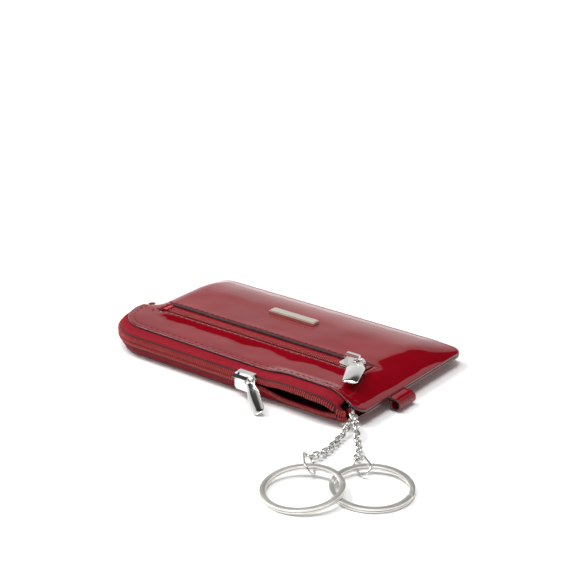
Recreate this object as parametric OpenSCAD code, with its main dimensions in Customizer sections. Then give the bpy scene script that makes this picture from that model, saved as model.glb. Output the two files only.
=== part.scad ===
// Flat zip-top key pouch in patent leather: an L-shaped coil zip round the mouth,
// a zipped slip pocket on the front, a side strap loop and two chains with key rings.
// Units are millimetres. X runs along the long side, Y towards the folded bottom edge,
// Z up. The origin is the middle of the face the pouch lies on.

/* [Pouch] */
// Length over the two sewn side seams
pouch_len = 119.5; // [110:0.5:130]
// Y of the folded bottom edge
fold_y = 36.5; // [34:0.5:40]
// Height of the front panel's flat middle
pouch_h = 10.5; // [10:0.5:12]
// Leather thickness
leather = 1.0; // [0.8:0.1:1.2]
// How far the open lip rises above the flat middle
lip_rise = 1.5; // [0:0.1:1.5]

/* [Slip pocket] */
// Left end of the slot
slot_x0 = -50; // [-52:1:-45]
// Right end of the slot
slot_x1 = 47; // [46:0.5:48]
// Middle line of the pocket zip
pocket_y = -10; // [-11:0.5:-9]

/* [Main zip] */
// Y of the chain's outer face along the mouth
zip_y = -37.5; // [-38:0.1:-37.5]
// Radius of the chain's outer face at the corner
zip_r = 19; // [17:0.5:20]
// Height where the two rows meet
zip_z = 6.275; // [6.2:0.025:6.3]
// Left end of the slider at its stored place
slider_x = 8.6; // [8:0.1:9]

/* [Key rings] */
// Outer diameter of a split key ring
ring_od = 28; // [24:1:28]
// Radial width of the flat wire
ring_w = 2; // [1.5:0.1:2]
// Height of the two turns together
ring_h = 1.6; // [1.2:0.1:1.6]
// Links in the first chain
links_a = 13; // [13:1:13]
// Links in the second chain
links_b = 12; // [12:1:12]

/* [Emblem] */
// Length of the plain bar
bar_len = 21.7; // [18:0.1:24]
// Depth of the plain bar
bar_w = 4; // [3:0.1:5]

/* [Hidden] */

hx = pouch_len / 2 + 0.25;        // right seam
lx = -pouch_len / 2 + 0.45;       // left seam
seam_top = 5.8;                   // top of the leather at a side seam
seam_bot = 3.7;                   // underside of the leather at a side seam
roll = pouch_h - seam_top;

function clamp01(t) = max(0, min(1, t));
function sm(t) = let (u = clamp01(t)) u * u * (3 - 2 * u);
function side_y(y) = sm((y + 14) / 10);
function drop_r(x) = roll * pow(clamp01((x - (hx - 16)) / 16), 2.3);
function drop_l(x, y) = roll * pow(clamp01((lx + 9.5 - x) / 9.5), 2.3) * side_y(y);
function drop(x, y) = max(drop_r(x), drop_l(x, y));
function fall(x, y) = 3.1 * pow(max(0, (y - 14) / 18.9), 2) * (1 - drop(x, y) / roll);
function rise(x, y) = lip_rise * sm((x - 16) / 12) * (1 - sm((x - 46) / 10)) * sm((-26.5 - y) / 5.9);
function z_top(x, y) = pouch_h - drop(x, y) - fall(x, y) + rise(x, y);
function z_bot(x, y) = seam_bot * max(pow(clamp01((x - hx + 10) / 10), 2),
  pow(clamp01((lx + 9.5 - x) / 9.5), 2) * side_y(y));

// closed loft through sections with the same even number of points: out along one side and back along the other
module loft(secs) {
  n = len(secs[0]); m = len(secs); e = (m - 1) * n;
  polyhedron([for (s = secs) for (p = s) p],
    concat([for (i = [0:n/2-2]) each [[i, n-1-i, i+1], [i+1, n-1-i, n-2-i]]],
      [for (j = [0:m-2]) for (i = [0:n-1]) each [[j*n + i, j*n + (i+1) % n, (j+1)*n + i], [(j+1)*n + i, j*n + (i+1) % n, (j+1)*n + (i+1) % n]]],
      [for (i = [0:n/2-2]) each [[e+i, e+i+1, e+n-1-i], [e+i+1, e+n-2-i, e+n-1-i]]]), convexity = 8);
}
function arc(c, r, a0, a1, n) = [for (i = [0:n]) let (a = a0 + (a1 - a0) * i / n) [c[0] + r * cos(a), c[1] + r * sin(a)]];

xs_right = concat([for (i = [0:7]) hx - 16 + 11 * i / 7], [for (a = [70:-17.5:17.5]) hx - 4 + 4 * cos(a)], [hx]);
xs_left = concat([for (a = [0:13:78]) lx + 15.2 * (1 - cos(a))], [-44.1]);
xs_mid = [-34, -24, -14, -4, 6, 14, 17, 20, 23, 26, 29, 34, 39];
xs = concat(xs_left, xs_mid, xs_right);

// outline of the front panel: near edge and fold, both with rounded corners
function near_y(x) = x < -44.1 ? -16.2 - sqrt(max(0, 15.2 * 15.2 - pow(x + 44.1, 2)))
  : x > hx - 4 ? -28.4 - sqrt(max(0, 16 - pow(x - hx + 4, 2))) : -31.4 - (x + 44.1) / 100;
function far_y(x) = x > hx - 5 ? fold_y - 5 + sqrt(max(0, 25 - pow(x - hx + 5, 2)))
  : x < lx + 4 ? fold_y - 4 + sqrt(max(0, 16 - pow(x - lx - 4, 2))) : fold_y;
// half height of the bottom fold at x
function fold_r(x) = (z_top(x, fold_y - 3.6) - z_bot(x, fold_y - 3.6)) / 2;
ys_n = 14;
function front_sec(x) =
  let (r = fold_r(x), yc = far_y(x) - r, zc = z_bot(x, fold_y - 3.6) + r, y0 = near_y(x), ri = max(r - leather, 0.04),
    yb = min(30, yc - 0.2), ys = [for (k = [0:ys_n]) y0 + (yc - y0) * k / ys_n])
  concat([for (y = ys) [x, y, z_top(x, y)]],
    [for (a = [67.5:-22.5:-90]) [x, yc + r * cos(a), zc + r * sin(a)]],
    [[x, yb, z_bot(x, 30)], [x, yb, z_bot(x, 30) + leather]],
    [for (a = [-90:22.5:67.5]) [x, yc + ri * cos(a), zc + ri * sin(a)]],
    [for (k = [ys_n:-1:0]) let (y = ys[k]) [x, y, z_top(x, y) - leather]]);
function back_y(x) = x < -43 ? -18.3 - sqrt(max(0, 16.3 * 16.3 - pow(x + 43, 2)))
  : x > hx - 4 ? -28.3 - sqrt(max(0, 16 - pow(x - hx + 4, 2))) : -34.3 + 2 * sm((x - 20) / 36);
function back_sec(x) = let (y0 = back_y(x), y1 = min(29.9, far_y(x) - fold_r(x) - 0.3))
  concat([for (k = [0:9]) let (y = y0 + (y1 - y0) * k / 9) [x, y, z_bot(x, y) + leather]],
    [for (k = [9:-1:0]) let (y = y0 + (y1 - y0) * k / 9) [x, y, z_bot(x, y)]]);

module front_panel() color([0.5, 0.03, 0.08])
  difference() {
    loft([for (x = xs) front_sec(x)]);
    // pocket slot
    translate([slot_x0, pocket_y - 4.2, 8.9]) cube([slot_x1 - slot_x0, 8, 4]);
    // holes for the emblem's prongs
    for (x = [-10, 5]) translate([x, 11.4, 9]) cylinder(h = 3, r = 0.55, $fn = 24);
  }

module back_panel() color([0.5, 0.03, 0.08]) loft([for (x = xs) back_sec(x)]);

module back_lining() color([0.08, 0.07, 0.07])
  translate([-48, -28, leather + 0.05]) cube([98, 56, 0.35]);

// flat bag under the slot, open upwards between the two tapes
module pocket_bag() color([0.1, 0.09, 0.09])
  difference() {
    translate([slot_x0, -20, 7.85]) cube([slot_x1 - slot_x0 + 1, 39, 1.0]);
    translate([slot_x0 + 0.3, -19.7, 8.15]) cube([slot_x1 - slot_x0 + 0.4, 38.4, 0.4]);
    translate([slot_x0 + 0.3, -19.7, 8.15]) cube([slot_x1 - slot_x0 + 0.4, 15.2, 2]);
  }

// ----- main zip: prisms that follow the mouth, d is the distance in from the outer face
module zip_plan(d) {
  translate([-42.5, zip_y + zip_r]) circle(r = zip_r - d, $fn = 96);
  translate([-42.5, zip_y + d]) square([60, 30]);
  translate([-42.5 - zip_r + d, zip_y + zip_r]) square([zip_r - d, 20]);
}
module zip_band(d0, d1, x1, y1) intersection() {
  difference() { zip_plan(d0); zip_plan(d1); }
  translate([-70, -45]) square([70 + x1, 45 + y1]);
}
tape_x1 = 8.2;
module zip_tape_upper() color([0.62, 0.1, 0.16]) {
  translate([0, 0, zip_z + 0.625]) linear_extrude(height = 2.45) zip_band(1.5, 1.9, tape_x1, -8);
  translate([0, 0, 9.05]) linear_extrude(height = 0.4) zip_band(1.5, 7.5, tape_x1, -16);
}
module zip_tape_lower() color([0.62, 0.1, 0.16]) {
  translate([0, 0, leather + 0.3]) linear_extrude(height = zip_z - 0.575 - leather - 0.3) zip_band(1.5, 1.9, tape_x1, -8);
  translate([0, 0, leather + 0.05]) linear_extrude(height = 0.4) zip_band(1.5, 7.5, tape_x1, -20);
}

// how far the rows part along the mouth: first inside the slider, then the open lips
function part_in(x) = 0.33 * sm((x - 9) / 6);
function lip(x) = sm((x - 18.5) / 13) * (1 - 0.6 * sm((x - 46) / 8));
function edge_z(x) = z_top(x, -32.4) - leather;
function up_z(x) = let (z = zip_z + 0.075 + part_in(x) + 1.65 * lip(x)) x < 40 ? z : min(z, edge_z(x) - 0.3 - 2.7);
function up_y(x) = zip_y - 1.3 * lip(x);
function lo_z(x) = zip_z - 2.775 - part_in(x) - 2.2 * lip(x);
function lo_y(x) = zip_y + 0.9 * lip(x);
open_xs = [8.3, 10, 12, 14, 16, 18, 20, 22, 24, 27, 30, 33, 37, 41, 45, 48, 51, 53];
function row(x, y, z) = [[x, y, z], [x, y, z + 2.7], [x, y + 1.4, z + 2.7], [x, y + 1.4, z]];

module zip_coil_upper() color([0.72, 0.22, 0.22]) {
  translate([0, 0, zip_z + 0.075]) linear_extrude(height = 2.7) zip_band(0, 1.4, 8.25, -8);
  loft([for (x = open_xs) row(x, up_y(x), up_z(x))]);
}
module zip_coil_lower() color([0.72, 0.22, 0.22]) {
  translate([0, 0, zip_z - 2.775]) linear_extrude(height = 2.7) zip_band(0, 1.4, 8.25, -8);
  loft([for (x = open_xs) row(x, lo_y(x), lo_z(x))]);
}
mouth_xs = [8.3, 10, 12, 14, 16, 18, 20, 22, 24, 27, 30, 33, 37, 41, 45, 48, 51, 53];
module mouth_tape_upper() color([0.62, 0.1, 0.16])
  loft([for (x = mouth_xs) let (zi = z_top(x, -28) - leather - 0.1, y1 = up_y(x) + 1.5, z1 = up_z(x) + 2.7)
    [[x, y1, z1 - 0.35], [x, y1, z1 + 0.05], [x, -28, zi], [x, -28, zi - 0.4]]]);
module mouth_tape_lower() color([0.62, 0.1, 0.16])
  loft([for (x = mouth_xs) let (y1 = lo_y(x) + 1.5, z1 = lo_z(x) + 0.05)
    [[x, y1, z1], [x, y1, z1 + 0.5], [x, -31, z_bot(x, -31) + leather + 0.45], [x, -31, z_bot(x, -31) + leather + 0.05]]]);

module zip_end_cap() color([0.55, 0.06, 0.12])
  translate([-61.6, -7.9, 3.4]) cube([2.2, 1.2, 4.9]);
module zip_top_stops() color([0.8, 0.8, 0.78]) {
  translate([53.1, up_y(53) - 0.1, up_z(53) - 0.1]) cube([1.6, 1.6, 2.9]);
  translate([53.1, lo_y(53) - 0.1, lo_z(53) - 0.1]) cube([1.6, 1.6, 2.9]);
}

// ----- sliders
module plate(l, w0, w1) polygon([[0, -w0/2 + 0.8], [0.8, -w0/2], [l - 1.2, -w1/2], [l, -w1/2 + 1.4],
  [l, w1/2 - 1.4], [l - 1.2, w1/2], [0.8, w0/2], [0, w0/2 - 0.8]]);
// arch over the plate, leaning by a; x along the slider, z out from the plate, a round post at the closing end
post_r = 0.55;
module bridge(l, a, h) rotate([-a, 0, 0]) {
  rotate([90, 0, 0]) translate([0, 0, -0.7]) linear_extrude(height = 1.4) difference() {
    polygon([[0, -0.8], [0, h - 1.2], [1.0, h], [l - post_r, h], [l - post_r, h - 0.9], [l - 1.5, h - 0.9], [l - 1.5, -0.8]]);
    polygon([[1.0, -0.9], [1.0, h - 1.7], [1.7, h - 0.9], [l + 1, h - 0.9], [l + 1, -0.9]]);
  }
  translate([l - post_r, 0, -0.7]) cylinder(h = h + 0.65, r = post_r, $fn = 32);
}
// slider body, closing end to +x; z is out of the chain's face, z = 0 is the outer face of the chain
module slider_body(l, w, gap, back, fl, off, a, h) {
  translate([0, 0, 0.25]) linear_extrude(height = 0.95) plate(l, w - 0.6, w);
  for (s = [-1, 1]) translate([0.8, s * (w/2 - 0.28) - 0.25, -fl]) cube([l - 2.0, 0.5, fl + 0.4]);
  translate([0, 0, -gap - back]) linear_extrude(height = back) plate(l, w - 2.6, w - 2.4);
  translate([l - 2.6, -0.35, -gap - 0.1]) cube([2, 0.7, gap + 0.5]);
  translate([0.7, off, 1.2]) bridge(l - 1.6, a, h);
}
lean = 42;
main_l = 9.4;
module main_slider() color([0.82, 0.82, 0.8])
  translate([slider_x, zip_y, zip_z]) rotate([90, 0, 0]) slider_body(main_l, 7.3, 2.15, 0.75, 1.3, 0.8, lean, 4.2);

// puller: x from the eye to the tip, z through the thickness; the eye's centre is at the origin
module puller(l, w_eye, w_mid, w_tip, t) {
  translate([0, 0, -t/2]) difference() {
    linear_extrude(height = t) union() {
      circle(r = w_eye/2, $fn = 48);
      polygon([[0, -w_eye/2], [3.2, -w_eye/2 + 0.2], [6.0, -w_mid/2], [l - 1.2, -w_tip/2], [l, -w_tip/2 + 1.0],
        [l, w_tip/2 - 1.0], [l - 1.2, w_tip/2], [6.0, w_mid/2], [3.2, w_eye/2 - 0.2], [0, w_eye/2]]);
    }
    translate([0, 0, -1]) cylinder(h = t + 2, r = eye_r, $fn = 48);
  }
}
eye_r = 1.15;
module frame_at(p, ex, ez) {
  x = ex / norm(ex); y0 = cross(ez, x); y = y0 / norm(y0); z = cross(x, y);
  multmatrix([[x[0], y[0], z[0], p[0]], [x[1], y[1], z[1], p[1]], [x[2], y[2], z[2], p[2]], [0, 0, 0, 1]]) children();
}
// the eye sits on the post, halfway up the arch's opening
main_n = [0, -cos(lean), sin(lean)];
main_pivot = [slider_x + 0.7 + main_l - 1.6 - post_r, zip_y - 1.2, zip_z + 0.8] + 2.25 * main_n;
main_swing = -44;
main_dir = [cos(main_swing), sin(main_swing) * sin(lean), sin(main_swing) * cos(lean)];
module main_puller() color([0.75, 0.75, 0.74]) frame_at(main_pivot, main_dir, main_n) puller(14.2, 3.6, 4.8, 4.6, 0.9);

// ----- slip pocket zip
module pocket_tape_near() color([0.62, 0.1, 0.16]) translate([slot_x0 - 0.9, pocket_y - 9, 9.0]) cube([slot_x1 - slot_x0 + 0.8, 8.4, 0.36]);
module pocket_tape_far() color([0.62, 0.1, 0.16]) translate([slot_x0 - 0.9, pocket_y + 0.6, 9.0]) cube([slot_x1 - slot_x0 + 0.8, 8.4, 0.36]);
pocket_xs = [slot_x0 + 2.2, 30, 36.6, 38, 40, 42, 44, 45.0];
function pshift(x) = 0.42 * sm((x - 37) / 5);
module pocket_row(s) loft([for (x = pocket_xs) let (a = pocket_y + s * (0.05 + pshift(x)), b = a + s * 2.45)
  s < 0 ? [[x, b, 9.5], [x, b, 10.4], [x, a, 10.4], [x, a, 9.5]] : [[x, a, 9.5], [x, a, 10.4], [x, b, 10.4], [x, b, 9.5]]]);
module pocket_coil_near() color([0.66, 0.16, 0.2]) pocket_row(-1);
module pocket_coil_far() color([0.66, 0.16, 0.2]) pocket_row(1);
module pocket_end_stops() color([0.8, 0.8, 0.78]) {
  translate([slot_x0 + 0.3, pocket_y - 2.2, 9.5]) cube([1.7, 4.4, 1.0]);
  for (s = [-1, 1]) translate([45.2, pocket_y + s * 1.8 - 1.1, 9.5]) cube([1.5, 2.2, 1.0]);
}
pocket_l = 8.5;
module pocket_slider() color([0.82, 0.82, 0.8])
  translate([36.5, pocket_y, 10.45]) slider_body(pocket_l, 7.3, 1.55, 0.6, 0.85, 0, 0, 3.5);
pocket_pivot = [36.5 + 0.7 + pocket_l - 1.6 - post_r, pocket_y, 10.45 + 1.2 + 1.1];
pocket_dir = [0.414, -0.911, 0];
module pocket_puller() color([0.75, 0.75, 0.74]) frame_at(pocket_pivot, pocket_dir, [0, 0, 1]) puller(18.2, 4.3, 6.8, 5.6, 1.3);

// ----- emblem: a plain bar held by two prongs and washers
module emblem_bar() color([0.82, 0.8, 0.74]) {
  translate([-bar_len/2 - 2.65, 11.4 - bar_w/2, pouch_h + 0.04]) cube([bar_len, bar_w, 1.1]);
  translate([-bar_len/2 - 2.65 + 0.35, 11.4 - bar_w/2 + 0.35, pouch_h + 1.1]) cube([bar_len - 0.7, bar_w - 0.7, 0.4]);
  for (x = [-10, 5]) translate([x, 11.4, 8.92]) cylinder(h = 1.7, r = 0.5, $fn = 24);
}
module emblem_washers() color([0.7, 0.7, 0.68])
  for (x = [-10, 5]) translate([x, 11.4, 9.0]) difference() {
    cylinder(h = 0.45, r = 2, $fn = 32);
    translate([0, 0, -1]) cylinder(h = 3, r = 0.55, $fn = 24);
  }

// ----- side strap loop, its ends clamped in the seam
module strap_loop() color([0.5, 0.03, 0.08]) difference() {
  union() {
    translate([62.5, -4.5, 2.55]) rotate([90, 0, 0]) cylinder(h = 10, r = 2.45, $fn = 48);
    translate([57, -14.5, 4.5]) cube([5.5, 10, 0.5]);
  }
  translate([62.5, -4, 2.55]) rotate([90, 0, 0]) cylinder(h = 11, r = 1.65, $fn = 48);
}

// ----- chain anchor inside the mouth's right corner
bar_p = [58.6, -35.0];
in_p = [54.9, -31.6];
bar_z = [3.0, 6.7];
module rod(a, b, r) frame_at(a, b - a, abs((b - a)[2]) > 0.5 * norm(b - a) ? [1, 0, 0] : [0, 0, 1])
  rotate([0, 90, 0]) cylinder(h = norm(b - a), r = r, $fn = 24);
module anchor_ring() color([0.8, 0.8, 0.78]) {
  rod([bar_p[0], bar_p[1], bar_z[0] - 0.5], [bar_p[0], bar_p[1], bar_z[1] + 0.5], 0.5);
  rod([in_p[0], in_p[1], bar_z[0] - 0.5], [in_p[0], in_p[1], bar_z[1] + 0.5], 0.5);
  for (z = bar_z) rod([bar_p[0], bar_p[1], z], [in_p[0], in_p[1], z], 0.42);
}
module chain_tab() color([0.45, 0.03, 0.07]) difference() {
  union() {
    translate([in_p[0], in_p[1], 3.8]) cylinder(h = 2.1, r = 1.3, $fn = 32);
    translate([in_p[0], in_p[1], 3.8]) rotate([0, 0, 55]) translate([0.2, -0.45, 0]) cube([4.6, 0.9, 2.1]);
  }
  translate([in_p[0], in_p[1], 2]) cylinder(h = 6, r = 0.58, $fn = 32);
}

// ----- chains: alternate links stepped along a route
function plen(P, i = 0) = i >= len(P) - 1 ? 0 : norm(P[i+1] - P[i]) + plen(P, i + 1);
function walk(P, s, i = 0) = let (d = norm(P[i+1] - P[i]))
  (s <= d || i >= len(P) - 2) ? P[i] + (P[i+1] - P[i]) * s / d : walk(P, s - d, i + 1);
function walk_dir(P, s) = let (v = walk(P, s + 0.9) - walk(P, s - 0.9)) v / norm(v);
route_a = [[58.6, -35, 3.85], [59.2, -38, 3.3], [59.9, -41, 2.5], [60.5, -44, 1.8], [61.0, -47, 1.5], [61.8, -51, 1.5],
  [62.5, -55, 1.5], [62.6, -58.5, 1.6], [62.2, -61.5, 2.1], [61.2, -64, 2.55]];
route_b = [[58.6, -35, 5.75], [60.9, -36.6, 5.3], [62.9, -38.7, 4.0], [64.7, -41.0, 2.4], [66.6, -43.3, 1.6], [69.2, -46.2, 1.45],
  [71.6, -49.2, 1.45], [73.4, -52.2, 1.7], [74.5, -55, 2.2]];
module stadium(l, w) { square([l - w, w], center = true); for (s = [-1, 1]) translate([s * (l - w)/2, 0]) circle(r = w/2, $fn = 24); }
module link() linear_extrude(height = 0.7, center = true) difference() { stadium(4.2, 2.9); stadium(2.8, 1.5); }
module chain(P, n, turn, off) {
  s0 = 0.8; s1 = plen(P) - off; step = (s1 - s0) / (n - 1);
  for (i = [0:n-1]) let (s = s0 + step * i, p = i == 0 ? P[0] + (P[1] - P[0]) / norm(P[1] - P[0]) * s : walk(P, s),
      d = i == 0 ? (P[1] - P[0]) : i == n - 1 ? P[len(P)-1] - P[len(P)-2] : walk_dir(P, s))
    frame_at(p, d, [0, 0, 1]) rotate([90 * i + turn * clamp01(i / 5), 0, 0]) link();
}
module chain_a_links() color([0.78, 0.78, 0.76]) chain(route_a, links_a, 20, 0.45);
module chain_b_links() color([0.78, 0.78, 0.76]) chain(route_b, links_b, 50, 0.5);

// oval wire ring: x along its length, in its own x-y plane
module oval(l, w, r) {
  for (s = [0, 1]) rotate([0, 0, 180 * s]) {
    translate([(l - w)/2, 0, 0]) rotate([0, 0, -90]) rotate_extrude(angle = 180, $fn = 64) translate([w/2, 0]) circle(r = r, $fn = 24);
    translate([-(l - w)/2, w/2, 0]) rotate([0, 90, 0]) cylinder(h = l - w, r = r, $fn = 24);
  }
}
ja_out = [61.1, -64.15]; ja_in = [68.4, -72.8]; ja_z = 2.8;
jb_out = [74.5, -55]; jb_in = [82.8, -60.6]; jb_z = 2.25;
module jump(o, i, z, w, a) let (d = [i[0] - o[0], i[1] - o[1], 0])
  frame_at([(o[0] + i[0])/2, (o[1] + i[1])/2, z], d, [0, 0, 1]) rotate([a, 0, 0]) oval(norm(d), w, 0.38);
module jump_ring_a() color([0.78, 0.78, 0.76]) jump(ja_out, ja_in, ja_z, 5.2, -50);
module jump_ring_b() color([0.78, 0.78, 0.76]) jump(jb_out, jb_in, jb_z, 4.8, 40);

// two flat turns, one on the other
module split_ring() rotate_extrude($fn = 128) let (a = ring_od/2 - ring_w, b = ring_od/2, h = ring_h)
  polygon([[a, 0.25], [a + 0.25, 0], [b - 0.25, 0], [b, 0.25], [b, h/2 - 0.12], [b - 0.15, h/2], [b, h/2 + 0.12], [b, h - 0.25],
    [b - 0.25, h], [a + 0.25, h], [a, h - 0.25], [a, h/2 + 0.12], [a + 0.15, h/2], [a, h/2 - 0.12]]);
ring_a = [72.4, -82]; tilt_a = [0.0365, 0.101];
ring_b = [89, -67]; tilt_b = [-0.0393, 0.0341];
module tilted(c, t) frame_at([c[0], c[1], ring_od/2 * norm(t)], [1, 0, t[0]], [-t[0], -t[1], 1]) children();
module key_ring_a() color([0.72, 0.71, 0.68]) tilted(ring_a, tilt_a) split_ring();
module key_ring_b() color([0.72, 0.71, 0.68]) tilted(ring_b, tilt_b) split_ring();

back_panel();
front_panel();
back_lining();
pocket_bag();
zip_tape_upper();
zip_tape_lower();
mouth_tape_upper();
mouth_tape_lower();
zip_coil_upper();
zip_coil_lower();
zip_end_cap();
zip_top_stops();
main_slider();
main_puller();
pocket_tape_near();
pocket_tape_far();
pocket_coil_near();
pocket_coil_far();
pocket_end_stops();
pocket_slider();
pocket_puller();
emblem_bar();
emblem_washers();
strap_loop();
chain_tab();
anchor_ring();
chain_a_links();
jump_ring_a();
key_ring_a();
chain_b_links();
jump_ring_b();
key_ring_b();
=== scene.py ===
import bpy
import math
from mathutils import Matrix, Vector, noise


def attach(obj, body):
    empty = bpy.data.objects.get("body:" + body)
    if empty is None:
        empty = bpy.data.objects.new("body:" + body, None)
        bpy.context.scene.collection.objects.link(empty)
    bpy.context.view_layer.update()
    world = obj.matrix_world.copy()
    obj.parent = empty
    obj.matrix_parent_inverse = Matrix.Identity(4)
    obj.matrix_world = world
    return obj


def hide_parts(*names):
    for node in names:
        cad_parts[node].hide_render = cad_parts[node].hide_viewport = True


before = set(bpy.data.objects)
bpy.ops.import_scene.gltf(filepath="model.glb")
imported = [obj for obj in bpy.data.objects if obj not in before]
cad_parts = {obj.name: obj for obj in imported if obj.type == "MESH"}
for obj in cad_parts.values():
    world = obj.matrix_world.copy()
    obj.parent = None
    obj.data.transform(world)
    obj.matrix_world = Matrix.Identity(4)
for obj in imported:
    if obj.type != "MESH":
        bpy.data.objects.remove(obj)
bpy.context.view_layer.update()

K = 0.001

# ---------------------------------------------------------------- the pouch's own shape, in millimetres
HX, LX, TOP, SEAM, BOT, ROLL, TH, FOLD = 60.0, -59.3, 10.5, 5.8, 3.7, 4.7, 1.0, 36.5
S0, S1, SN, SF = -50.0, 47.0, -14.2, -6.2
ZY, ZC = -37.5, 6.275


def c01(t):
    return max(0.0, min(1.0, t))


def sm(t):
    u = c01(t)
    return u * u * (3 - 2 * u)


def side_y(y):
    return sm((y + 14) / 10)


def drop(x, y):
    return max(ROLL * c01((x - 44) / 16) ** 2.3, ROLL * c01((LX + 9.5 - x) / 9.5) ** 2.3 * side_y(y))


def z_top(x, y):
    d = drop(x, y)
    fall = 3.1 * (max(0, y - 14) / 18.9) ** 2 * (1 - d / ROLL)
    rise = 1.5 * sm((x - 16) / 12) * (1 - sm((x - 46) / 10)) * sm((-26.5 - y) / 5.9)
    return TOP - d - fall + rise


def z_bot(x, y):
    return BOT * max(c01((x - 50) / 10) ** 2, c01((LX + 9.5 - x) / 9.5) ** 2 * side_y(y))


def near_y(x):
    if x < -44.1:
        return -16.2 - math.sqrt(max(0, 15.2 ** 2 - (x + 44.1) ** 2))
    if x > HX - 4:
        return -28.4 - math.sqrt(max(0, 16 - (x - 56) ** 2))
    return -31.4 - (x + 44.1) / 100


def far_y(x):
    if x > HX - 5:
        return 31.5 + math.sqrt(max(0, 25 - (x - 55) ** 2))
    if x < LX + 4:
        return 32.5 + math.sqrt(max(0, 16 - (x - LX - 4) ** 2))
    return FOLD


def fold_r(x):
    return (z_top(x, 32.9) - z_bot(x, 32.9)) / 2


def back_y(x):
    if x < -43:
        return -18.3 - math.sqrt(max(0, 16.3 ** 2 - (x + 43) ** 2))
    if x > 56:
        return -28.3 - math.sqrt(max(0, 16 - (x - 56) ** 2))
    return -34.3 + 2 * sm((x - 20) / 36)


def n1(x, y, f, s):
    return noise.noise(Vector((x * f, y * f * 1.3, s)))


def skin(x, y):
    """Height of the leather's outer face, with its waves and the raised, turned lips of the slot."""
    d = drop(x, y) / ROLL
    calm = (1 - 0.55 * d) * (1 - 0.85 * sm((y - 22) / 10))
    edge = sm((y - near_y(x)) / 4.0)
    z = z_top(x, y) + calm * edge * (0.16 * n1(x, y, 0.045, 1.7) + 0.07 * n1(x, y, 0.11, 5.2))
    run = sm((x - S0) / 6) * (1 - sm((x - S1 + 6) / 6))
    reach = 4.4 + 2.6 * n1(x, 0, 0.085, 9.1) + 0.9 * n1(x, 0, 0.3, 3.3)
    z += 0.62 * run * sm((y + 15.2 + reach) / reach) * (1 - sm((y + 14.4) / 3.0))
    z += 0.08 * run * (1 - sm((y + 5.6) / 4.0)) * sm((y + 8.0) / 1.6)
    dx, dy = max(S0 - x, 0, x - S1), max(SN - y, 0, y - SF)
    e = math.hypot(dx, dy)
    if e < 0.9:
        z -= 0.42 * (1 - e / 0.9) ** 2
    # the end of the chain presses the leather up a little past the slot
    z += 0.25 * math.exp(-((x - 52) / 3.5) ** 2 - ((y + 10) / 5.0) ** 2)
    # stitch lines pull the leather down
    z -= 0.06 * math.exp(-(((y - near_y(x)) - 2.3) / 0.55) ** 2) * (1 - d)
    return z


# ---------------------------------------------------------------- materials
def mat(name, dark, light, scale, rough, metal=0.0, coat=0.0, coat_rough=0.03, rough_hi=None, bump=0.0, bump_scale=900.0,
        weave=None, sheen=0.0, spec=0.5, detail=3.0):
    m = bpy.data.materials.new(name)
    m.use_nodes = True
    nt = m.node_tree
    b = next(n for n in nt.nodes if n.type == "BSDF_PRINCIPLED")
    tc = nt.nodes.new("ShaderNodeTexCoord")
    no = nt.nodes.new("ShaderNodeTexNoise")
    no.inputs["Scale"].default_value = scale
    no.inputs["Detail"].default_value = detail
    nt.links.new(tc.outputs["Object"], no.inputs["Vector"])
    ramp = nt.nodes.new("ShaderNodeValToRGB")
    ramp.color_ramp.elements[0].position = 0.3
    ramp.color_ramp.elements[1].position = 0.72
    ramp.color_ramp.elements[0].color = (*dark, 1)
    ramp.color_ramp.elements[1].color = (*light, 1)
    nt.links.new(no.outputs["Fac"], ramp.inputs["Fac"])
    nt.links.new(ramp.outputs["Color"], b.inputs["Base Color"])
    if rough_hi is None:
        b.inputs["Roughness"].default_value = rough
    else:
        rr = nt.nodes.new("ShaderNodeMapRange")
        rr.inputs["To Min"].default_value = rough
        rr.inputs["To Max"].default_value = rough_hi
        nt.links.new(no.outputs["Fac"], rr.inputs["Value"])
        nt.links.new(rr.outputs["Result"], b.inputs["Roughness"])
    b.inputs["Metallic"].default_value = metal
    b.inputs["Coat Weight"].default_value = coat
    b.inputs["Coat Roughness"].default_value = coat_rough
    b.inputs["Coat IOR"].default_value = 1.42
    b.inputs["Sheen Weight"].default_value = sheen
    b.inputs["Specular IOR Level"].default_value = spec
    if weave:
        w1 = nt.nodes.new("ShaderNodeTexWave")
        w1.wave_type, w1.bands_direction = "BANDS", "DIAGONAL"
        w1.inputs["Scale"].default_value = weave
        w1.inputs["Distortion"].default_value = 1.2
        w1.inputs["Detail Scale"].default_value = 2.0
        w2 = nt.nodes.new("ShaderNodeTexWave")
        w2.wave_type, w2.bands_direction = "BANDS", "Z"
        w2.inputs["Scale"].default_value = weave * 1.2
        mul = nt.nodes.new("ShaderNodeMath")
        mul.operation = "MULTIPLY"
        for w in (w1, w2):
            nt.links.new(tc.outputs["Object"], w.inputs["Vector"])
        nt.links.new(w1.outputs["Fac"], mul.inputs[0])
        nt.links.new(w2.outputs["Fac"], mul.inputs[1])
        bp = nt.nodes.new("ShaderNodeBump")
        bp.inputs["Strength"].default_value = 0.8
        bp.inputs["Distance"].default_value = 0.00012
        nt.links.new(mul.outputs["Value"], bp.inputs["Height"])
        nt.links.new(bp.outputs["Normal"], b.inputs["Normal"])
    elif bump:
        n2 = nt.nodes.new("ShaderNodeTexNoise")
        n2.inputs["Scale"].default_value = bump_scale
        n2.inputs["Detail"].default_value = 2.0
        nt.links.new(tc.outputs["Object"], n2.inputs["Vector"])
        bp = nt.nodes.new("ShaderNodeBump")
        bp.inputs["Strength"].default_value = 1.0
        bp.inputs["Distance"].default_value = bump
        nt.links.new(n2.outputs["Fac"], bp.inputs["Height"])
        nt.links.new(bp.outputs["Normal"], b.inputs["Normal"])
        if coat:
            nt.links.new(bp.outputs["Normal"], b.inputs["Coat Normal"])
    return m


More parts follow.
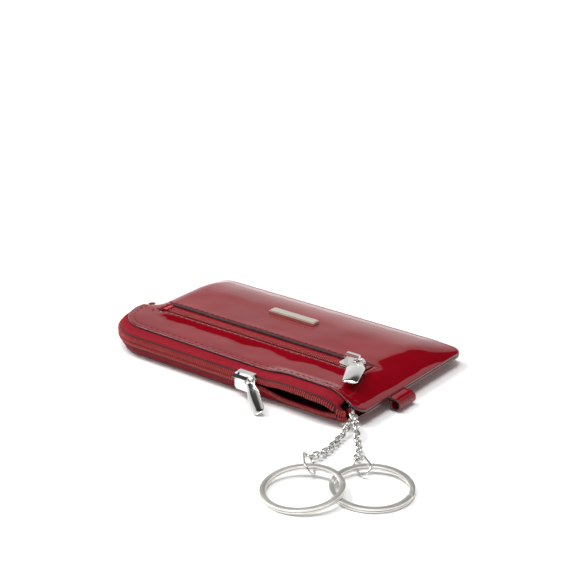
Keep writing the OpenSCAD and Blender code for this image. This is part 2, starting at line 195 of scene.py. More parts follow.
PATENT = mat("patent_red", (0.155, 0.0005, 0.0040), (0.19, 0.0008, 0.0060), 60, 0.6, coat=1.0, coat_rough=0.012, bump=0.0000025, bump_scale=420, spec=0.0)
EDGE = mat("edge_paint", (0.030, 0.016, 0.018), (0.085, 0.045, 0.048), 700, 0.34, coat=0.5, coat_rough=0.25)
LIP_EDGE = mat("lip_edge", (0.016, 0.008, 0.009), (0.045, 0.02, 0.022), 700, 0.65, spec=0.25)
LINING = mat("lining_black", (0.006, 0.005, 0.006), (0.014, 0.011, 0.012), 900, 0.9, weave=2600)
TAPE = mat("tape_red", (0.19, 0.0015, 0.008), (0.255, 0.0035, 0.014), 1400, 0.75, weave=1150, spec=0.15)
# darker copy of the tape red: painted shade for the tape behind the coil teeth
TAPE_PAINTED_SHADE = mat("tape_painted_shade", (0.035, 0.001, 0.003), (0.07, 0.002, 0.006), 1400, 0.8, weave=1150)
COIL = mat("coil_red", (0.27, 0.008, 0.009), (0.37, 0.019, 0.016), 900, 0.26, rough_hi=0.4)
THREAD = mat("thread_red", (0.09, 0.0015, 0.006), (0.15, 0.003, 0.010), 2500, 0.7)
NICKEL = mat("nickel_bright", (0.80, 0.79, 0.77), (0.86, 0.85, 0.83), 120, 0.07, metal=1.0, rough_hi=0.13)
SATIN = mat("nickel_satin", (0.70, 0.68, 0.64), (0.78, 0.76, 0.72), 160, 0.32, metal=1.0, rough_hi=0.40)
CHAIN = mat("nickel_chain", (0.52, 0.51, 0.49), (0.66, 0.65, 0.62), 160, 0.13, metal=1.0, rough_hi=0.22)
GOLD = mat("emblem_pale", (0.72, 0.66, 0.56), (0.84, 0.79, 0.70), 300, 0.1, metal=1.0, rough_hi=0.2)


# ---------------------------------------------------------------- mesh helpers
class Acc:
    def __init__(self):
        self.v, self.f, self.m = [], [], []

    def add(self, verts, faces, m=0):
        o = len(self.v)
        self.v += verts
        self.f += [[i + o for i in f] for f in faces]
        self.m += [m] * len(faces)

    def tube(self, pts, rad, segs=8, m=0, closed=False, up=None, squash=1.0):
        pts = [Vector(p) for p in pts]
        n = len(pts)
        verts, faces = [], []
        prev = None
        for i in range(n):
            a = pts[(i - 1) % n] if closed or i else pts[i]
            b = pts[(i + 1) % n] if closed or i < n - 1 else pts[i]
            t = (b - a).normalized()
            if prev is None:
                ref = Vector(up) if up is not None else (Vector((0, 0, 1)) if abs(t.z) < 0.9 else Vector((1, 0, 0)))
                u = (ref - t * ref.dot(t)).normalized()
            else:
                u = (prev - t * prev.dot(t)).normalized()
            prev = u
            w = t.cross(u)
            r = rad[i] if isinstance(rad, (list, tuple)) else rad
            for k in range(segs):
                q = 2 * math.pi * k / segs
                p = pts[i] + u * (r * squash * math.cos(q)) + w * (r * math.sin(q))
                verts.append(tuple(p))
        for i in range(n if closed else n - 1):
            j = (i + 1) % n
            for k in range(segs):
                k2 = (k + 1) % segs
                faces.append([i * segs + k, i * segs + k2, j * segs + k2, j * segs + k])
        if not closed:
            faces.append(list(range(segs - 1, -1, -1)))
            faces.append([(n - 1) * segs + k for k in range(segs)])
        self.add(verts, faces, m)

    def make(self, name, mats, body, reps=(), slot=None, smooth=True, sharp=None):
        me = bpy.data.meshes.new(name)
        me.from_pydata([(x * K, y * K, z * K) for x, y, z in self.v], [], self.f)
        for mt in mats:
            me.materials.append(mt)
        me.polygons.foreach_set("material_index", self.m)
        me.polygons.foreach_set("use_smooth", [smooth] * len(self.f))
        me.update()
        if sharp is not None and hasattr(me, "set_sharp_from_angle"):
            me.set_sharp_from_angle(angle=math.radians(sharp))
        o = bpy.data.objects.new(name, me)
        bpy.context.scene.collection.objects.link(o)
        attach(o, body)
        if reps:
            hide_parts(*reps)
        return o


# ---------------------------------------------------------------- panels
def columns():
    special = [S0 + d for d in (-1.6, -0.8, -0.4, -0.15, 0, 0.4)] + [S1 + d for d in (-0.4, 0, 0.15, 0.4, 0.8, 1.6)]
    base = [LX + 15.2 * (1 - math.cos(math.radians(a))) for a in [0, 2.2] + [4.5 * k for k in range(1, 20)]]
    x = -43.2
    while x < 55.6:
        base.append(x)
        x += 0.95
    base += [56 + 4 * math.cos(math.radians(a)) for a in range(90, -1, -9)] + [59.88]
    out = sorted(special + [b for b in base if all(abs(b - s) > 0.09 for s in special)])
    keep = [out[0]]
    for v in out[1:]:
        if v - keep[-1] > 0.03:
            keep.append(v)
    return keep


XS = columns()
PRE = [(0.0, 0.34), (0.07, 0.12), (0.26, 0.02)]
N1, N2, N3, NA = 17, 8, 34, 14
LIP = [1.6, 0.8, 0.4, 0.15, 0.0]


def panel_rows(x, yc):
    y0 = near_y(x)
    a, b = y0 + 0.6, SN - 1.6 if SN - 1.6 > y0 + 0.9 else y0 + 0.9
    rows = [a + (b - a) * k / N1 for k in range(N1)]
    span = SN - b
    rows += [SN - span * v / 1.6 for v in LIP]
    rows += [SN + (SF - SN) * k / N2 for k in range(1, N2)]
    rows += [SF + v for v in LIP[::-1]]
    rows += [SF + 1.6 + (yc - SF - 1.6) * k / N3 for k in range(1, N3 + 1)]
    return rows


def front():
    cols = []
    near_i = None
    for x in XS:
        r = fold_r(x)
        yc, zc = far_y(x) - r, z_bot(x, 32.9) + r
        ri = max(r - TH, 0.04)
        yb = min(30, yc - 0.2)
        end = 0.30 if x > HX - 0.02 or x < LX + 0.02 else 0.0
        y0 = near_y(x)
        rows = panel_rows(x, yc)
        zt_end = skin(x, yc)
        outer = [(x, y0 + d, skin(x, y0 + d) - g - end) for d, g in PRE]
        inner = [(x, y0 + d, z_top(x, y0 + d) - TH + g * 0.5 + end * 0.6) for d, g in PRE]
        for y in rows:
            zo = skin(x, y) - end
            outer.append((x, y, zo))
            inner.append((x, y, min(zo - 0.3, z_top(x, y) - TH + end * 0.6)))
        near_i = len(PRE) + N1 + len(LIP) - 1
        rr = r - end
        for k in range(1, NA + 1):
            a = math.radians(90 - 180 * k / NA)
            blend = (zt_end - (zc + r)) * max(0, 1 - k / 5)
            outer.append((x, yc + rr * math.cos(a), zc + rr * math.sin(a) + blend))
            inner.append((x, yc + (ri) * math.cos(a), zc + ri * math.sin(a)))
        outer.append((x, yb, z_bot(x, 30) + 0.03 + end))
        inner.append((x, yb, z_bot(x, 30) + TH))
        cols.append(outer + inner[::-1])
    n = len(cols[0])
    h = n // 2
    far_i = near_i + N2
    A = Acc()
    A.v = [p for c in cols for p in c]
    mats, faces = [], []
    for j in range(len(cols) - 1):
        slot = XS[j] >= S0 - 1e-6 and XS[j + 1] <= S1 + 1e-6
        for i in range(n):
            i2 = (i + 1) % n
            k = i if i < h else n - 2 - i
            if slot and near_i <= k < far_i and i not in (h - 1, n - 1):
                continue
            faces.append([j * n + i, (j + 1) * n + i, (j + 1) * n + i2, j * n + i2])
            lip_edge = slot and i in (far_i, far_i + 1, far_i + 2)
            mats.append(3 if lip_edge else 1 if i in (h - 1, n - 1) or i < 1 or n - 4 <= i else (0 if i < h - 1 else 2))
    # walls of the slot
    for j in range(len(cols) - 1):
        if XS[j] >= S0 - 1e-6 and XS[j + 1] <= S1 + 1e-6:
            for i, flip in ((near_i, 0), (far_i, 1)):
                a, b, c, d = j * n + i, (j + 1) * n + i, (j + 1) * n + n - 1 - i, j * n + n - 1 - i
                faces.append([a, d, c, b][::-1] if flip else [a, d, c, b])
                mats.append(1)
    for x, flip in ((S0, 0), (S1, 1)):
        j = min(range(len(XS)), key=lambda q: abs(XS[q] - x))
        for i in range(near_i, far_i):
            f = [j * n + i, j * n + i + 1, j * n + n - 2 - i, j * n + n - 1 - i]
            faces.append(f[::-1] if flip else f)
            mats.append(1)
    # ends
    for j, flip in ((0, 0), (len(cols) - 1, 1)):
        for i in range(h - 1):
            f = [j * n + i, j * n + i + 1, j * n + n - 2 - i, j * n + n - 1 - i]
            faces.append(f[::-1] if flip else f)
            mats.append(1)
    A.f, A.m = faces, mats
    return A.make("front_leather", [PATENT, EDGE, LINING, LIP_EDGE], "pouch", ["front_panel"], "patent_leather", sharp=50)


def back():
    cols = []
    for x in XS:
        y0 = back_y(x)
        y1 = min(29.9, far_y(x) - fold_r(x) - 0.3)
        end = 0.28 if x > HX - 0.02 or x < LX + 0.02 else 0.0
        ds = [(0, 0.3), (0.07, 0.1), (0.26, 0.0)]
        ys = [(y0 + d, g) for d, g in ds] + [(y0 + 0.6 + (y1 - y0 - 0.6) * k / 34, 0) for k in range(35)]
        top = [(x, y, z_bot(x, y) + TH - g - end) for y, g in ys]
        bot = [(x, y, z_bot(x, y) + g + end + 0.02) for y, g in ys]
        cols.append(top + bot[::-1])
    n = len(cols[0])
    h = n // 2
    A = Acc()
    A.v = [p for c in cols for p in c]
    for j in range(len(cols) - 1):
        for i in range(n):
            i2 = (i + 1) % n
            A.f.append([j * n + i, (j + 1) * n + i, (j + 1) * n + i2, j * n + i2])
            A.m.append(1 if i in (h - 1, n - 1, 0) else (2 if i < h - 1 and XS[j] > LX + 3 and XS[j] < HX - 3 and i > 4 else 0))
    for j, flip in ((0, 0), (len(cols) - 1, 1)):
        for i in range(h - 1):
            f = [j * n + i, j * n + i + 1, j * n + n - 2 - i, j * n + n - 1 - i]
            A.f.append(f[::-1] if flip else f)
            A.m.append(1)
    return A.make("back_leather", [PATENT, EDGE, LINING], "pouch", ["back_panel"], "patent_leather", sharp=50)


front()
back()


# ---------------------------------------------------------------- stitches
def stitch(A, path, length=2.0, gap=0.85, lean=0.12):
    seg = [0.0]
    for p, q in zip(path, path[1:]):
        seg.append(seg[-1] + math.dist(p, q))

    def at(s):
        for i in range(len(path) - 1):
            if s <= seg[i + 1] or i == len(path) - 2:
                t = (s - seg[i]) / max(1e-9, seg[i + 1] - seg[i])
                return (path[i][0] + (path[i + 1][0] - path[i][0]) * t, path[i][1] + (path[i + 1][1] - path[i][1]) * t)

    s = 0.0
    while s + length <= seg[-1] + 1e-6:
        p, q = at(s), at(s + length)
        dx, dy = q[0] - p[0], q[1] - p[1]
        L = math.hypot(dx, dy)
        nx, ny = -dy / L, dx / L
        pts, rad = [], []
        for k in range(7):
            t = k / 6
            off = lean * (t - 0.5) * 2
            x, y = p[0] + dx * t + nx * off, p[1] + dy * t + ny * off
            pts.append((x, y, skin(x, y) - 0.15 + 0.19 * math.sin(math.pi * t) ** 0.6))
            rad.append(0.10 + 0.09 * math.sin(math.pi * t) ** 0.5)
        A.tube(pts, rad, 7)
        s += length + gap


A = Acc()
edge_path = [(LX + 2.4, y) for y in (-10.5, -13, -15)]
for k in range(19):
    a = math.radians(180 + 5 * k)
    edge_path.append((-44.1 + 12.9 * math.cos(a), -16.2 + 12.9 * math.sin(a)))
edge_path += [(x, near_y(x) + 2.3) for x in range(-42, 57, 3)] + [(57.4, -29.0)]
stitch(A, edge_path)
near_line = [(x, -15.5) for x in range(-53, 51, 2)]
far_line = [(x, -4.9) for x in range(-53, 51, 2)]
stitch(A, near_line, 1.9, 0.8)
stitch(A, far_line, 1.9, 0.8)
stitch(A, [(-51.6, -17.0), (-51.6, -3.4)], 1.9, 0.8)
stitch(A, [(48.9, -17.0), (48.9, -3.4)], 1.9, 0.8)
A.make("seam_stitches", [THREAD], "pouch", slot="patent_leather")


# ---------------------------------------------------------------- main zip
def part_in(x):
    return 0.33 * sm((x - 9) / 6)


def lip(x):
    return sm((x - 18.5) / 13) * (1 - 0.6 * sm((x - 46) / 8))


def edge_z(x):
    return z_top(x, -32.4) - TH


def up_z(x):
    z = ZC + 0.075 + part_in(x) + 1.65 * lip(x)
    return z if x < 40 else min(z, edge_z(x) - 3.0)


def up_y(x):
    return ZY - 1.3 * lip(x)


def lo_z(x):
    return ZC - 2.775 - part_in(x) - 2.2 * lip(x)


def lo_y(x):
    return ZY + 0.9 * lip(x)


def outline(s):
    """Point, outward normal and travel along the closed part of the chain, s from the left end."""
    if s < 10.5:
        return (-61.5, -8 - s), (-1.0, 0.0), (0.0, -1.0)
    s -= 10.5
    q = 19 * math.pi / 2
    if s < q:
        a = math.pi + s / 19
        n = (math.cos(a), math.sin(a))
        return (-42.5 + 19 * n[0], -18.5 + 19 * n[1]), n, (-n[1], n[0])
    s -= q
    return (-42.5 + s, ZY), (0.0, -1.0), (1.0, 0.0)


CLOSED = 10.5 + 19 * math.pi / 2 + 50.75
PITCH = 0.86
# across the row: how far along it, how deep, and how thick the coil is there
TOOTH = [(-0.1, 0.72, 0.12), (0.02, 0.58, 0.19), (0.24, 0.42, 0.26), (0.7, 0.34, 0.29), (1.2, 0.40, 0.29), (1.6, 0.60, 0.26), (1.85, 0.95, 0.17)]


def corner(k, sign):
    """Place k along the short turn at the open end: point on the outer face, radius, height of the inner end, normal."""
    y0 = up_y(52.9) if sign > 0 else lo_y(52.9)
    ph = k * PITCH / 3.0
    n = (math.sin(ph), -math.cos(ph))
    p = (52.9 + 3.0 * n[0], y0 + 3.0 + 3.0 * n[1])
    z = up_z(p[0]) + 0.1 if sign > 0 else lo_z(52.9) + 2.55 - 0.28 * k
    return p, 3.0, z, n


def main_rows():
    U, L = Acc(), Acc()
    s = 0.6
    while s < CLOSED - 0.2:
        for B, sign, sh in ((U, 1, 0), (L, -1, PITCH / 2)):
            if s + sh > CLOSED - 0.1:
                continue
            pts, rad = [], []
            for a, d, r in TOOTH:
                p, n, t = outline(s + sh)
                lean = 0.16 * (a - 0.8)
                pts.append((p[0] - n[0] * d + t[0] * lean, p[1] - n[1] * d + t[1] * lean, ZC + sign * a))
                rad.append(r)
            B.tube(pts, rad, 8, up=(p[0] - pts[0][0], p[1] - pts[0][1], 0) if False else (n[0], n[1], 0))
        s += PITCH
    x = 8.9
    while x < 52.6:
        for B, sign, sh in ((U, 1, 0), (L, -1, PITCH / 2)):
            xx = x + sh
            if xx > 52.8:
                continue
            y, z = (up_y(xx), up_z(xx)) if sign > 0 else (lo_y(xx), lo_z(xx) + 2.7)
            pts = [(xx + 0.16 * (a - 0.8), y + d, z - sign * 0.075 + sign * a) for a, d, r in TOOTH]
            B.tube(pts, [r for a, d, r in TOOTH], 8, up=(0, -1, 0))
        x += PITCH
    # both rows turn in round the mouth's corner and stop there
    for B, sign in ((U, 1), (L, -1)):
        for k in range(1, 6):
            x, d0, z, n = corner(k, sign)
            t = (-n[1], n[0])
            last = k == 5
            pts = [(x[0] - n[0] * d + t[0] * 0.12 * (a - 0.8), x[1] - n[1] * d + t[1] * 0.12 * (a - 0.8), z + sign * a) for a, d, r in TOOTH]
            B.tube(pts, [r * (1.5 if last else 1) for a, d, r in TOOTH], 8, up=(n[0], n[1], 0))
    # the cord that holds each coil down
    for B, sign in ((U, 1), (L, -1)):
        pts = []
        k = 0
        s = 0.3
        while s < CLOSED:
            p, n, t = outline(s)
            d = 0.16 if k % 2 else 0.34
            pts.append((p[0] - n[0] * d, p[1] - n[1] * d, ZC + sign * 1.28))
            s += PITCH / 2
            k += 1
        x = 8.4
        while x < 52.8:
            y, z = (up_y(x), up_z(x)) if sign > 0 else (lo_y(x), lo_z(x) + 2.7)
            pts.append((x, y + (0.16 if k % 2 else 0.34), z + sign * 1.2))
            x += PITCH / 2
            k += 1
        B.tube([(a, b + 0.22, c) for a, b, c in pts], 0.1, 5, m=1)
    U.make("coil_upper", [COIL, THREAD], "pouch", ["zip_coil_upper", "zip_top_stops"], "nylon_coil")
    L.make("coil_lower", [COIL, THREAD], "pouch", ["zip_coil_lower"], "nylon_coil")


main_rows()


def ribbon(name, secs, reps, thick=0.32):
    A = Acc()
    n = len(secs[0])
    A.v = [p for s in secs for p in s]
    for j in range(len(secs) - 1):
        for i in range(n - 1):
            A.f.append([j * n + i, (j + 1) * n + i, (j + 1) * n + i + 1, j * n + i + 1])
            # the inner part of each tape, behind the teeth, gets the darker copy: painted shade
            A.m.append(1 if i < n * 0.41 else 0)
    o = A.make(name, [TAPE, TAPE_PAINTED_SHADE], "pouch", reps, "zip_tape")
    md = o.modifiers.new("thickness", "SOLIDIFY")
    md.thickness = thick * K
    md.offset = 1 if "upper" in name else -1
    return o


def smooth_curve(pts, n=22):
    out = []
    m = len(pts) - 1
    for k in range(n + 1):
        u = m * k / n
        i = min(int(u), m - 1)
        t = u - i
        p0, p1, p2, p3 = pts[max(i - 1, 0)], pts[i], pts[i + 1], pts[min(i + 2, m)]
        out.append(tuple(0.5 * ((2 * p1[c]) + (-p0[c] + p2[c]) * t + (2 * p0[c] - 5 * p1[c] + 4 * p2[c] - p3[c]) * t * t
                                + (-p0[c] + 3 * p1[c] - 3 * p2[c] + p3[c]) * t ** 3) for c in range(2)))
    return out


def tapes():
    up, lo = [], []
    s = 0.0
    while s <= CLOSED:
        p, n, t = outline(s)
        wide = sm((s - 6) / 14)
        cu = smooth_curve([(1.0, 6.45), (1.05, 7.3), (1.2, 8.15), (1.5, 8.75), (2.1, 9.05), (3.6 - 0.8 * (1 - wide), 9.15), (4.0 + 3.3 * wide, 9.2)])
        cl = smooth_curve([(1.0, 6.1), (1.05, 5.2), (1.2, 4.2), (1.5, 3.2), (2.1, 2.2), (3.0, 1.35), (4.2 + 3 * wide, 1.22)])
        up.append([(p[0] - n[0] * d, p[1] - n[1] * d, z) for d, z in cu])
        lo.append([(p[0] - n[0] * d, p[1] - n[1] * d, z) for d, z in cl])
        s += 1.3
    x = 9.6
    while x <= 53.0:
        xx = x
        y, z = up_y(xx), up_z(xx)
        ez = z_top(xx, -32.4) - TH - 0.12
        top = min(z + 2.85, ez - 0.04)
        c = smooth_curve([(y + 1.0, z + 0.1), (y + 1.05, z + 0.95), (y + 1.2, z + 1.8), (y + 1.55, min(z + 2.4, top - 0.35)),
                          (y + 2.4, top - 0.1), (-33.4, top), (-30.2, z_top(xx, -30.2) - TH - 0.3)])
        up.append([(x, a, b) for a, b in c])
        y, z = lo_y(xx), lo_z(xx) + 2.7
        c = smooth_curve([(y + 1.0, z - 0.1), (y + 1.05, z - 0.9), (y + 1.2, z - 1.7), (y + 1.5, max(z - 2.4, 1.5)),
                          (y + 2.1, z_bot(xx, -33) + 1.3 + 0.3 * (z - 2.6) * 0.3), (-33.6, z_bot(xx, -33.6) + 1.3), (-30.3, z_bot(xx, -30.3) + 1.22)])
        lo.append([(x, a, b) for a, b in c])
        x += 1.2
    for k in range(1, 6):
        p, d0, z, n = corner(k, 1)
        c = smooth_curve([(1.0, z), (1.05, z + 0.8), (1.2, z + 1.6), (1.5, z + 2.1), (2.0, z + 2.35), (2.5, z + 2.45), (2.9, z + 2.45)])
        up.append([(p[0] - n[0] * d, p[1] - n[1] * d, h) for d, h in c])
        p, d0, z, n = corner(k, -1)
        c = smooth_curve([(1.0, z), (1.05, z - 0.8), (1.2, z - 1.5), (1.5, z - 1.9), (2.0, z - 2.1), (2.5, z - 2.2), (2.9, z - 2.2)])
        lo.append([(p[0] - n[0] * d, p[1] - n[1] * d, max(h, 0.9)) for d, h in c])
    ribbon("tape_upper", up, ["zip_tape_upper", "mouth_tape_upper"])
    ribbon("tape_lower", lo, ["zip_tape_lower", "mouth_tape_lower"])


tapes()


# ---------------------------------------------------------------- slip pocket zip
def pocket_rows():
    for name, node, sign, sh in (("pocket_coil_a", "pocket_coil_near", -1, 0), ("pocket_coil_b", "pocket_coil_far", 1, PITCH / 2)):
        B = Acc()
        x = -47.4 + sh
        pts2 = []
        while x < 44.8:
            o = 0.42 * sm((x - 37) / 5)
            pts = [(x + 0.16 * (a - 0.8), -10 + sign * (a + 0.02 + o), 10.42 - d) for a, d, r in TOOTH]
            B.tube(pts, [r for a, d, r in TOOTH], 8, up=(0, 0, 1))
            x += PITCH
        x, k = -47.6, 0
        while x < 44.9:
            pts2.append((x, -10 + sign * (1.3 + 0.42 * sm((x - 37) / 5)), 10.42 - (0.36 if k % 2 else 0.5)))
            x += PITCH / 2
            k += 1
        B.tube(pts2, 0.1, 5, m=1)
        B.make(name, [COIL, THREAD], "pouch", [node], "nylon_coil")


pocket_rows()


# ---------------------------------------------------------------- chains and rings
def basis(ex, ez):
    x = Vector(ex).normalized()
    y = Vector(ez).cross(x).normalized()
    return x, y, x.cross(y)


RA = [(58.6, -35, 3.85), (59.2, -38, 3.3), (59.9, -41, 2.5), (60.5, -44, 1.8), (61.0, -47, 1.5), (61.8, -51, 1.5),
      (62.5, -55, 1.5), (62.6, -58.5, 1.6), (62.2, -61.5, 2.1), (61.2, -64, 2.55)]
RB = [(58.6, -35, 5.75), (60.9, -36.6, 5.3), (62.9, -38.7, 4.0), (64.7, -41.0, 2.4), (66.6, -43.3, 1.6), (69.2, -46.2, 1.45),
      (71.6, -49.2, 1.45), (73.4, -52.2, 1.7), (74.5, -55, 2.2)]


def walk(P, s):
    for i in range(len(P) - 1):
        a, b = Vector(P[i]), Vector(P[i + 1])
        d = (b - a).length
        if s <= d or i == len(P) - 2:
            return a + (b - a) * (s / d)
        s -= d


def chain(name, P, n, turn, off, body, node):
    total = sum((Vector(P[i + 1]) - Vector(P[i])).length for i in range(len(P) - 1))
    s0, s1 = 0.8, total - off
    step = (s1 - s0) / (n - 1)
    B = Acc()
    for i in range(n):
        s = s0 + step * i
        p = walk(P, s)
        if i == 0:
            d = Vector(P[1]) - Vector(P[0])
        elif i == n - 1:
            d = Vector(P[-1]) - Vector(P[-2])
        else:
            d = walk(P, s + 0.9) - walk(P, s - 0.9)
        x, y, z = basis(d, (0, 0, 1))
        a = math.radians(90 * i + turn * c01(i / 5))
        y2, z2 = y * math.cos(a) + z * math.sin(a), z * math.cos(a) - y * math.sin(a)
        pts = []
        l, w = 3.46, 2.16
        for k in range(28):
            q = 2 * math.pi * k / 28
            u = (l - w) / 2 * (1 if math.cos(q) > 0 else -1) + w / 2 * math.cos(q)
            v = w / 2 * math.sin(q)
            tw = math.radians(20) * u / (l / 2)
            pts.append(p + x * u + y2 * (v * math.cos(tw)) + z2 * (v * math.sin(tw)))
        B.tube(pts, 0.37, 10, closed=True)
    B.make(name, [CHAIN], body, [node], "satin_nickel")


chain("chain_a_wire", RA, 13, 20, 0.45, "chain_a", "chain_a_links")
chain("chain_b_wire", RB, 12, 50, 0.5, "chain_b", "chain_b_links")


def split_ring(name, c, t, body, node, start):
    B = Acc()
    x, y, z = basis((1, 0, t[0]), (-t[0], -t[1], 1))
    o = Vector((c[0], c[1], 14 * math.hypot(*t)))
    sec = [(-0.98, -0.2), (-0.9, -0.33), (-0.72, -0.38), (0.72, -0.38), (0.9, -0.33), (0.98, -0.2), (0.98, 0.2), (0.9, 0.33),
           (0.72, 0.38), (-0.72, 0.38), (-0.9, 0.33), (-0.98, 0.2)]
    m, verts, faces = len(sec), [], []
    N = 250
    for i in range(N + 1):
        a = 17 + 686 * i / N
        h = 0.39 + 0.82 * sm((a - 342) / 36)
        cap = min(1.0, 0.55 + 0.45 * min(i, N - i) / 1.5) if min(i, N - i) < 2 else 1.0
        q = math.radians(a + start)
        er = x * math.cos(q) + y * math.sin(q)
        for u, v in sec:
            verts.append(tuple(o + er * (13.0 + u * cap) + z * (h + v * cap)))
    for i in range(N):
        for k in range(m):
            k2 = (k + 1) % m
            faces.append([i * m + k, i * m + k2, (i + 1) * m + k2, (i + 1) * m + k])
    faces.append(list(range(m - 1, -1, -1)))
    faces.append([N * m + k for k in range(m)])
    B.add(verts, faces)
    return B.make(name, [SATIN], body, [node], "satin_nickel", sharp=40)


split_ring("split_ring_a", (72.4, -82), (0.0365, 0.101), "key_ring_a", "key_ring_a", 60)
split_ring("split_ring_b", (89, -67), (-0.0393, 0.0341), "key_ring_b", "key_ring_b", 35)


# ---------------------------------------------------------------- pullers
def puller(name, pivot, ex, ez, l, we, wm, wt, t, inset, chamfer, node, body):
    x, y, z = basis(ex, ez)
    o = Vector(pivot)
    B = Acc()
    # the eye, a flat rounded ring
    R0, R1, h = 1.15, we / 2, t / 2
    sec = [(R0, -h * 0.6), (R0 + 0.12, -h), (R1 - 0.2, -h), (R1, -h * 0.55), (R1, h * 0.55), (R1 - 0.2, h), (R0 + 0.12, h), (R0, h * 0.6)]
    N, m = 40, len(sec)
    verts = [tuple(o + (x * math.cos(2 * math.pi * i / N) + y * math.sin(2 * math.pi * i / N)) * r + z * v) for i in range(N) for r, v in sec]
    B.add(verts, [[i * m + k, i * m + (k + 1) % m, ((i + 1) % N) * m + (k + 1) % m, ((i + 1) % N) * m + k] for i in range(N) for k in range(m)])
    # the grip, with a bevelled border round a flat face
    prof = [(1.32, we / 2 * 0.62), (1.75, we / 2 * 0.72), (2.4, we / 2 - 0.16), (3.2, we / 2 - 0.1), (4.1, we / 2 + (wm - we) * 0.17), (5.1, we / 2 + (wm - we) * 0.36),
            (6.0, wm / 2), (l * 0.6, (wm * 0.55 + wt * 0.45) / 2), (l - 1.2, wt / 2), (l - 0.65, wt / 2 - 0.35), (l - 0.25, wt / 2 - 0.75), (l, wt / 2 - 1.15)]
    verts = []
    n = len(prof)
    for i, (px, w) in enumerate(prof):
        b = min(inset, w * 0.42)
        g = sm((px - 1.3) / 2.5)
        top = h - (chamfer if i == n - 1 else (chamfer * 0.35 if i == n - 2 else 0))
        side = max(0.12, h - chamfer * (0.35 + 0.65 * g))
        side = min(side, top)
        for a, v in ((w, -side), (w, side), (w - b, top), (-(w - b), top), (-w, side), (-w, -side), (-(w - b), -top), (w - b, -top)):
            verts.append(tuple(o + x * px + y * a + z * v))
    faces = [[i * 8 + k, (i + 1) * 8 + k, (i + 1) * 8 + (k + 1) % 8, i * 8 + (k + 1) % 8] for i in range(n - 1) for k in range(8)]
    faces += [list(range(8)), [(n - 1) * 8 + k for k in range(7, -1, -1)]]
    B.add(verts, faces)
    ob = B.make(name, [NICKEL], body, [node], "nickel", sharp=24)
    bv = ob.modifiers.new("soft_edges", "BEVEL")
    bv.width, bv.segments, bv.limit_method, bv.angle_limit = 0.07 * K, 2, "ANGLE", math.radians(24)
    return ob


puller("main_puller_metal", (16.55, -40.372, 8.5805), (0.7193, -0.4648, -0.5162), (0, -math.cos(math.radians(42)), math.sin(math.radians(42))),
       14.2, 3.6, 4.8, 4.6, 0.9, 1.15, 0.36, "main_puller", "main_puller")
puller("pocket_puller_metal", (43.55, -10.0, 12.75), (0.414, -0.911, 0), (0, 0, 1), 18.2, 4.3, 6.8, 5.6, 1.3, 1.2, 0.42, "pocket_puller", "pocket_puller")


# ---------------------------------------------------------------- strap loop
def loop():
    line = [(57.0, 4.75), (59.0, 4.76), (60.6, 4.78)]
    for k in range(25):
        a = math.radians(96 - 13.2 * k)
        line.append((62.5 + 2.06 * math.cos(a), 2.55 + 2.06 * math.sin(a)))
    B = Acc()
    n = len(line)
    h = 0.38
    rows = []
    for i, (x, z) in enumerate(line):
        a, b = line[max(i - 1, 0)], line[min(i + 1, n - 1)]
        d = math.hypot(b[0] - a[0], b[1] - a[1])
        rows.append(((x, z), (-(b[1] - a[1]) / d, (b[0] - a[0]) / d)))
    ys = [(-14.5, 0.14), (-14.42, 0.0), (-14.2, -0.02)] + [(-14.0 + 9 * k / 8, 0) for k in range(9)] + [(-4.8, -0.02), (-4.58, 0.0), (-4.5, 0.14)]
    m = len(ys)
    for (x, z), (nx, nz) in rows:
        for y, g in ys:
            B.v.append((x + nx * (h - g), y, z + nz * (h - g)))
        for y, g in ys[::-1]:
            B.v.append((x - nx * (h - g), y, z - nz * (h - g)))
    w = 2 * m
    for i in range(n - 1):
        for k in range(w):
            k2 = (k + 1) % w
            B.f.append([i * w + k, i * w + k2, (i + 1) * w + k2, (i + 1) * w + k])
            B.m.append(1 if k in (0, m - 2, m - 1, m, w - 2, w - 1) else 0)
    B.f.append(list(range(w - 1, -1, -1)))
    B.f.append([(n - 1) * w + k for k in range(w)])
    B.m += [1, 1]
    B.make("strap_loop_leather", [PATENT, EDGE], "pouch", ["strap_loop"], "patent_leather", sharp=50)


loop()

# ---------------------------------------------------------------- CAD parts that stay
looks = {
    COIL: ["pocket_end_stops"],
    NICKEL: ["main_slider", "pocket_slider", "emblem_washers"],
    CHAIN: ["anchor_ring", "jump_ring_a", "jump_ring_b"],
    GOLD: ["emblem_bar"],
    TAPE: ["zip_end_cap", "pocket_tape_near", "pocket_tape_far"],
    LINING: ["back_lining", "pocket_bag"],
    PATENT: ["chain_tab"],
}
soft_edges = {"main_slider": 0.16, "pocket_slider": 0.16, "main_puller": 0.4, "pocket_puller": 0.42, "emblem_bar": 0.16,
              "pocket_end_stops": 0.25, "zip_end_cap": 0.3, "chain_tab": 0.15}
for m, names in looks.items():
    for name in names:
        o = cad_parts[name]
        if not o.data.materials:
            o.data.materials.append(m)
        for i in range(len(o.data.materials)):
            o.data.materials[i] = m
        if name in soft_edges:
            bv = o.modifiers.new("soft_edges", "BEVEL")
            bv.width = soft_edges[name] * K
            bv.segments = 3
            bv.limit_method = "ANGLE"
            bv.angle_limit = math.radians(35)
            bv.harden_normals = False
            o.data.polygons.foreach_set("use_smooth", [True] * len(o.data.polygons))

# ---------------------------------------------------------------- floor, light, camera
FLOOR = mat("floor_white", (0.90, 0.90, 0.90), (0.93, 0.93, 0.93), 6, 0.55, spec=0.15)
fl = bpy.data.meshes.new("floor")
R = 6.0
fl.from_pydata([(-R, -R, 0), (R, -R, 0), (R, R, 0), (-R, R, 0)], [], [[0, 1, 2, 3]])
fl.materials.append(FLOOR)
floor = bpy.data.objects.new("floor", fl)
bpy.context.scene.collection.objects.link(floor)

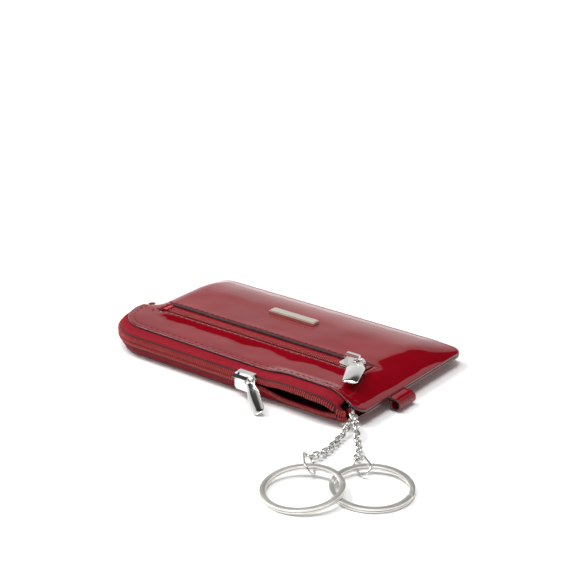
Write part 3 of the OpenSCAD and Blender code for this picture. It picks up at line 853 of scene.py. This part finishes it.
world = bpy.data.worlds.new("studio")
bpy.context.scene.world = world
world.use_nodes = True
wt = world.node_tree
wt.nodes.clear()
wo = wt.nodes.new("ShaderNodeOutputWorld")
bg = wt.nodes.new("ShaderNodeBackground")
tc = wt.nodes.new("ShaderNodeTexCoord")
sp = wt.nodes.new("ShaderNodeSeparateXYZ")
cr = wt.nodes.new("ShaderNodeValToRGB")
wt.links.new(tc.outputs["Generated"], sp.inputs["Vector"])
wt.links.new(sp.outputs["Z"], cr.inputs["Fac"])
wt.links.new(cr.outputs["Color"], bg.inputs["Color"])
wt.links.new(bg.outputs["Background"], wo.inputs["Surface"])
el = cr.color_ramp.elements
el[0].position, el[0].color = 0.0, (1.0, 1.0, 1.0, 1)
el[1].position, el[1].color = 1.0, (0.5, 0.5, 0.5, 1)
for pos, v in ((0.22, 0.95), (0.33, 0.88), (0.40, 0.72), (0.485, 0.62), (0.515, 0.03), (0.80, 0.03), (0.90, 0.6)):
    e = el.new(pos)
    e.color = (v, v, v, 1)
bg.inputs["Strength"].default_value = 1.0


def area(name, az, elev, dist, size, power, target=(0.0, 0.0, 0.0)):
    a, e = math.radians(az), math.radians(elev)
    v = Vector((math.sin(a) * math.cos(e), -math.cos(a) * math.cos(e), math.sin(e)))
    d = bpy.data.lights.new(name, "AREA")
    d.shape = "RECTANGLE"
    d.size, d.size_y = size
    d.energy = power
    o = bpy.data.objects.new(name, d)
    o.location = Vector(target) + v * dist
    o.rotation_euler = v.to_track_quat("Z", "Y").to_euler()
    bpy.context.scene.collection.objects.link(o)
    return o


area("key_left", -75, 52, 1.6, (0.7, 0.7), 21)
area("over", 0, 88, 1.3, (0.6, 0.6), 10)
area("front", 20, 16, 1.8, (0.7, 0.25), 3)
area("side_card", 163, 42, 1.6, (0.20, 0.55), 0.4)

cam = bpy.data.cameras.new("camera")
co = bpy.data.objects.new("camera", cam)
bpy.context.scene.collection.objects.link(co)
bpy.context.scene.camera = co
cam.sensor_width = 36
cam.lens = 98.39
cam.clip_start, cam.clip_end = 0.01, 50
e, a = math.radians(21.86), math.radians(37.69)
bk = Vector((math.sin(a) * math.cos(e), -math.cos(a) * math.cos(e), math.sin(e)))
co.location = Vector((-0.04275, 0.0577, 0.0)) + bk * 0.6687
co.rotation_euler = bk.to_track_quat("Z", "Y").to_euler()
bpy.context.scene.view_settings.view_transform = "Standard"
